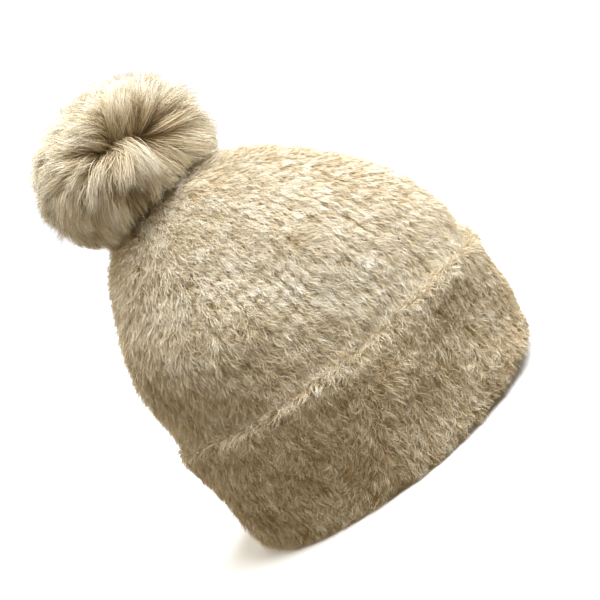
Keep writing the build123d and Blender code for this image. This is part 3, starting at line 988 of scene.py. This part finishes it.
# ---- Care label ----
label_low, label_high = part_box("care_label")
label_width = label_high.x - label_low.x
slope_top = np.array((0.0, label_high.y - 0.55 * MM, label_high.z - 0.3 * MM))
slope_foot = np.array((0.0, label_low.y + 0.55 * MM, label_low.z + 0.5 * MM))
s = np.linspace(0, 1, 26)
run = slope_top * (1 - s[:, None]) + slope_foot * s[:, None]
gap = 0.10 + 0.32 * np.sin(pi * s) ** 1.3 + 0.25 * s
curl = np.array((0, -1.0, 0))
front = run + curl * (gap[:, None] + 0.15) * MM
rear = run - curl * (gap[:, None] * 0.2) * MM
fold_centre = (front[-1] + rear[-1]) / 2
fold_half = np.linalg.norm(front[-1] - rear[-1]) / 2
turn = np.linspace(0, pi, 9)[1:-1]
fold_way = np.cos(turn)[:, None] * curl + np.sin(turn)[:, None] * np.array((0, 0, -1.0))
fold_line = fold_centre + fold_half * fold_way
centre_line = np.concatenate([front, fold_line, rear[::-1]])
tangent = unit(np.gradient(centre_line, axis=0))
thin = np.cross(tangent, (1.0, 0, 0)) * 0.11 * MM
widths = np.linspace(-0.5, 0.5, 15)
LABEL_RIPPLE = 0.15 * MM
sheet_rows = []
for sign in (1, -1):
    rows = centre_line[:, None] + sign * thin[:, None] + widths[None, :, None] * np.array((label_width, 0, 0))
    rows[..., 1] += LABEL_RIPPLE * np.sin(widths * 5.0)[None]
    sheet_rows.append(rows)
label = closed_sheet("label_ribbon", *sheet_rows)
give(label, label_look, "label", ["care_label"])

tack_low, tack_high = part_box("label_tack")
tack_paths = []
for k in range(9):
    x = tack_low.x + (k + 0.5) / 9 * (tack_high.x - tack_low.x)
    z = (tack_low.z + tack_high.z) / 2
    start = (x - 0.7 * MM, tack_high.y - 0.3 * MM, z)
    end = (x + 0.7 * MM, tack_low.y + 0.2 * MM, z)
    tack_paths.append(bar(start, end, (0, 0, 0.25 * MM), 9))
sew("label_stitches", tack_paths, 0.34 * MM, thread_look, "hat", ["label_tack"])

# ---- Pom ----
centre = np.array(POM_CENTRE)


def skin_profile(radius, half_height, low_angle, steps=26):
    """Half an oval in mm about the pom's centre, from its mouth to its top."""
    angles = np.radians(np.linspace(low_angle, 90, steps))
    return [(radius * cos(a) / MM, (POM_RISE * MM + half_height * sin(a)) / MM) for a in angles]


MOUTH = -50  # degrees below the pom's middle
skin_outline = skin_profile(SKIN_RADIUS + 0.9 * MM, SKIN_HALF_HEIGHT + 0.9 * MM, MOUTH)
skin_outline += skin_profile(SKIN_RADIUS - 0.5 * MM, SKIN_HALF_HEIGHT - 0.5 * MM, MOUTH)[::-1]
skin_outline = [(max(r, 0.05), h) for r, h in skin_outline]
skin = turned("pom_skin", skin_outline, felt_look, "pom", ["pom_fur"], 96, 0.12 * MM, 5)

filling_angles = np.radians(np.linspace(-90, 90, 40))
filling_outline = [(max(32.4 * cos(a), 0.05), 32.2 + 19.3 * sin(a)) for a in filling_angles]
filling_outline += [(0.02, 51.4), (0.02, 13.0)]
filling = turned(
    "pom_stuffing", filling_outline, filling_look, "pom", ["pom_filling"], 72, 0.25 * MM, 6,
)

pom_loop = [loop(11.2, 20.6 * MM, 120, 0.3 * MM)]
sew("pom_gather_loop", pom_loop, 0.8 * MM, thread_look, "pom", ["pom_gather_thread"], **RING)

# Directions from the pom's centre: the parting's two ends, the hollow beside it, and where the fur below
# the parting sweeps away from.
PARTING_START = unit(np.array((-0.22, 0.97, 0.10)))
PARTING_END = unit(np.array((-0.62, 0.76, -0.14)))
HOLLOW = unit(np.array((-0.12, 0.96, -0.25)))
SWEEP_START = unit(np.array((-0.34, 0.92, -0.20)))
# The fur's tips keep to a soft oval that sags from the pom's own centre onto the crown.
TIPS_CENTRE = np.array((25.2, 0, 237.8)) * MM
TIPS_TILT = radians(-3)
TIPS_AXIS = np.array((sin(TIPS_TILT), 0, cos(TIPS_TILT)))
TIPS_RADIUS = 62.6 * MM
TIPS_HALF_HEIGHT = 51.0 * MM
CLUMPS = 90  # neighbouring tufts cling together in clumps of different leans
FUR_TUFTS = 900
FUR_PER_TUFT = 85
FUR_STEPS = 6
FUR_PER_PIECE = 22000
FUR_WIDTH = 0.30 * MM
FUR_TAPER = np.array([1.0, 1.0, 0.95, 0.8, 0.6, 0.3])
ARCHED = 34  # tufts beside the hollow that arch over and down


def on_ball(wide, high, ball):
    """Points of an oval about the pom's centre, in directions from it."""
    up = ball @ axis
    return centre + (ball - up[..., None] * axis) * wide + up[..., None] * axis * high


def nearest_parting(ball):
    """The nearest points of the parting line to directions on the ball, and how near they are."""
    along = np.linspace(0, 1, 9)[:, None]
    line = unit(PARTING_START * (1 - along) + PARTING_END * along)
    near = ball @ line.T
    best = near.argmax(1)
    return line[best], near[np.arange(len(ball)), best]


def tuft_ways(ball, rng):
    """Which way tufts at these directions set out and end: away from the parting, and over the crown."""
    count = len(ball)
    parting, near = nearest_parting(ball)
    below = ease((parting - ball) @ axis, 0.05, 0.3)[:, None]
    parting = unit(parting * (1 - below) + SWEEP_START * below)
    away = unit(ball - (ball * parting).sum(1)[:, None] * parting)
    flow = ease((ball * parting).sum(1), -0.55, 0.75)
    turned_way = np.cross(parting, ball)
    hang = np.clip(0.2 - ball @ axis, 0, 1)
    clumps = unit(rng.normal(0, 1, (CLUMPS, 3)))
    lean = rng.normal(0, 1, (CLUMPS, 3)) * 0.26
    clump = (ball @ clumps.T).argmax(1)
    aim = unit(
        ball * (1.0 - 0.45 * flow)[:, None] + away * (flow * 1.15)[:, None] + turned_way * (0.3 * flow)[:, None]
        - axis * (hang * 0.9)[:, None] + lean[clump] + rng.normal(0, 0.13, (count, 3))
    )
    first = unit(ball + away * (0.3 * flow)[:, None] - 0.5 * lean[clump] + rng.normal(0, 0.16, (count, 3)))
    return aim, first, near


fur_rng = np.random.default_rng(SEED + 50)
turn = fur_rng.uniform(0, tau, FUR_TUFTS)
lift = fur_rng.uniform(sin(radians(MOUTH)), 1, FUR_TUFTS)
ball = np.sqrt(1 - lift**2)[:, None] * round_axis(turn) + lift[:, None] * axis
aim, first, near = tuft_ways(ball, fur_rng)
length = fur_rng.uniform(32, 41, FUR_TUFTS) * MM * (1 + 0.3 * ease(-ball @ axis, -0.1, 0.6))
ball[:ARCHED] = unit(np.array((-0.16, 0.97, -0.02)) + fur_rng.normal(0, 0.09, (ARCHED, 3)))
first[:ARCHED] = unit(np.array((-1.0, 0.65, 0.35)) + fur_rng.normal(0, 0.10, (ARCHED, 3)))
aim[:ARCHED] = unit(np.array((-0.30, 0.55, -0.86)) + fur_rng.normal(0, 0.10, (ARCHED, 3)))
length[:ARCHED] = fur_rng.uniform(30, 38, ARCHED) * MM
near[:ARCHED] = 0
pick = np.repeat(np.arange(FUR_TUFTS), FUR_PER_TUFT)
n = len(pick)
own_ball = unit(ball[pick] + fur_rng.normal(0, 0.075, (n, 3)))
root = on_ball(SKIN_RADIUS, SKIN_HALF_HEIGHT, own_ball)
hollow = ease(own_ball @ HOLLOW, 0.955, 0.99)
own_length = (length[pick] * fur_rng.uniform(0.62, 1.05, n) * (1 - 0.5 * hollow))[:, None, None]
target = on_ball(SKIN_RADIUS, SKIN_HALF_HEIGHT, ball)[pick] + aim[pick] * length[pick][:, None]
aim_own = unit(unit(target - root) * 0.7 + aim[pick] * 0.4 + fur_rng.normal(0, 0.08, (n, 3)))
first_own = unit(first[pick] * 0.7 + own_ball * 0.4 + fur_rng.normal(0, 0.06, (n, 3)))
s = np.linspace(0, 1, FUR_STEPS)[None, :, None]
setting_out, ending = 0.85 * s * (1 - s) * first_own[:, None], (0.62 * s * s + 0.36 * s) * aim_own[:, None]
paths = root[:, None] + own_length * (setting_out + ending)
kink = fur_rng.normal(0, 1, (n, 3)) * 0.9 * MM
paths = paths + np.sin(s * pi * fur_rng.uniform(0.8, 2.0, n)[:, None, None]) * kink[:, None] * s
paths[..., 2] -= (own_length * 0.08 * s**2)[..., 0]

local = paths - TIPS_CENTRE
up = local @ TIPS_AXIS
flat = np.linalg.norm(local - up[..., None] * TIPS_AXIS, axis=-1)
reach = np.hypot(flat / TIPS_RADIUS, up / TIPS_HALF_HEIGHT)
limit = (1 + 0.028 * fur_rng.normal(0, 1, FUR_TUFTS))[pick] * (1 + 0.02 * fur_rng.normal(0, 1, n))
soft = 0.62 * limit[:, None]
over = np.maximum(reach - soft, 0) / (limit[:, None] - soft)
pressed = np.where(reach > soft, soft + (limit[:, None] - soft) * np.tanh(over), reach)
paths = TIPS_CENTRE + local * (pressed / np.maximum(reach, 1e-6))[..., None]

# They also lie on the crown rather than in it: its fall in mm at distances in mm from the axis.
CROWN_AWAY, CROWN_FALL = (0, 14, 28, 42, 56, 70, 84), (0, 0, -3.6, -11.5, -22, -35, -50)
CROWN_NAP = 3.5 * MM
local = paths - crown
height = local @ axis
radius = np.linalg.norm(local - height[..., None] * axis, axis=-1)
crown_height = np.interp(radius / MM, CROWN_AWAY, CROWN_FALL) * MM
paths = paths + axis * np.maximum(crown_height + CROWN_NAP - height, 0)[..., None]

side = unit(np.cross(aim_own, fur_rng.normal(0, 1, (n, 3))))
# The parting and the hollow are painted darker, as painted shade, and the tufts are painted a little lighter
# towards the pom's top, as painted light; their tone also differs at random.
parted = ease(near[pick], 0.955, 0.995)
tone = (
    0.68 + 0.05 * fur_rng.normal(0, 1, FUR_TUFTS)[pick] + fur_rng.normal(0, 0.05, n)
    - 0.10 * parted - 0.25 * hollow + 0.04 * (ball[pick] @ axis)
)
# Each fur strand is painted darker towards its root, as painted shade deep in the fur, and paler towards its
# tip.
shade = tone[:, None] + np.interp(s[0, :, 0], (0, 0.35, 1), (-0.36, -0.10, 0.13))[None]
for i, low in enumerate(range(0, n, FUR_PER_PIECE)):
    cut = slice(low, low + FUR_PER_PIECE)
    piece = strands(f"pom_fur_{i + 1}", paths[cut], FUR_WIDTH * FUR_TAPER, side[cut], shade[cut])
    give(piece, fur_look, "pom")

# ---- Press stud and disc: the CAD shapes are right, so they get better looks ----
metal_look = metal_material("nickel_plate", (0.62, 0.60, 0.56), (0.80, 0.79, 0.76), 0.28)
wire_look = metal_material("spring_steel", (0.42, 0.42, 0.43), (0.62, 0.62, 0.63), 0.36)
for node, look in (
    ("snap_socket", metal_look), ("snap_stud", metal_look),
    ("ring_spring", wire_look), ("pom_base_disc", disc_look),
):
    for material_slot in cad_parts[node].material_slots:
        material_slot.material = look

# ---- Stage ----
FLOOR_HALF = 9
FLOOR_HEIGHT = -0.001
corners = ((-1, -1), (1, -1), (1, 1), (-1, 1))
floor_points = np.array([(x * FLOOR_HALF, y * FLOOR_HALF, FLOOR_HEIGHT) for x, y in corners])
floor = make_mesh("floor", floor_points, [np.array([[0, 1, 2, 3]])], smooth=False)
pale = Nodes("pale_floor", roughness=0.9, specular=0.1)
pale.colour(pale.noise(14, 3.0), [(0.2, (0.93, 0.93, 0.93)), (0.8, (0.95, 0.95, 0.95))])
floor.data.materials.append(pale.material)
floor.visible_diffuse = False
floor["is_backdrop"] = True

world = bpy.data.worlds.new("studio")
bpy.context.scene.world = world
world.use_nodes = True
sky = world.node_tree
# The camera sees white, and the light from the sky is warmer and grows with height.
seen = sky.nodes["Background"]
seen.inputs["Color"].default_value = (1, 1, 1, 1)
seen.inputs["Strength"].default_value = 1.05
direction = add_node(sky, "ShaderNodeTexCoord").outputs["Generated"]
height_range = {
    "Value": add_node(sky, "ShaderNodeSeparateXYZ", {0: direction}).outputs["Z"],
    "From Min": -0.4, "From Max": 0.7, "To Min": 0.25, "To Max": 0.52,
}
strength = add_node(sky, "ShaderNodeMapRange", height_range).outputs[0]
dim = add_node(sky, "ShaderNodeBackground", {"Color": (1.0, 0.845, 0.59, 1), "Strength": strength}).outputs[0]
camera_ray = add_node(sky, "ShaderNodeLightPath").outputs["Is Camera Ray"]
choose = add_node(sky, "ShaderNodeMixShader", {0: camera_ray, 1: dim, 2: seen.outputs[0]}).outputs[0]
sky.links.new(choose, sky.nodes["World Output"].inputs["Surface"])


def soft_sun(name, energy, spread, travel, colour=(1, 1, 1)):
    """A large soft light a long way off, shining along a direction."""
    sun = bpy.data.lights.new(name, "SUN")
    sun.energy, sun.angle, sun.color = energy, radians(spread), colour
    place_object(name, sun).rotation_euler = Vector(travel).to_track_quat("-Z", "Y").to_euler()


soft_sun("key", 7.2, 50, (0.46, -0.13, -0.87), (0.93, 0.965, 1.0))
soft_sun("fill", 2.2, 90, (-0.55, 0.70, -0.45))

camera_data = bpy.data.cameras.new("camera")
camera = place_object("camera", camera_data)
bpy.context.scene.camera = camera
camera_data.lens = 75.6
CAMERA_PLACE = Vector((0.0166, 0.767, 0.2368))
YAW, PITCH, ROLL = radians(-1.53), radians(-9.59), radians(-38.1)
forward = Vector((sin(YAW) * cos(PITCH), -cos(YAW) * cos(PITCH), sin(PITCH)))
level = forward.cross(Vector((0, 0, 1))).normalized()
above = level.cross(forward)
right = level * cos(ROLL) + above * sin(ROLL)
top = -level * sin(ROLL) + above * cos(ROLL)
turning = Matrix((right, top, -forward)).transposed().to_4x4()
camera.matrix_world = Matrix.Translation(CAMERA_PLACE) @ turning

bpy.context.scene.view_settings.view_transform = "Standard"

low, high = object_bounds()
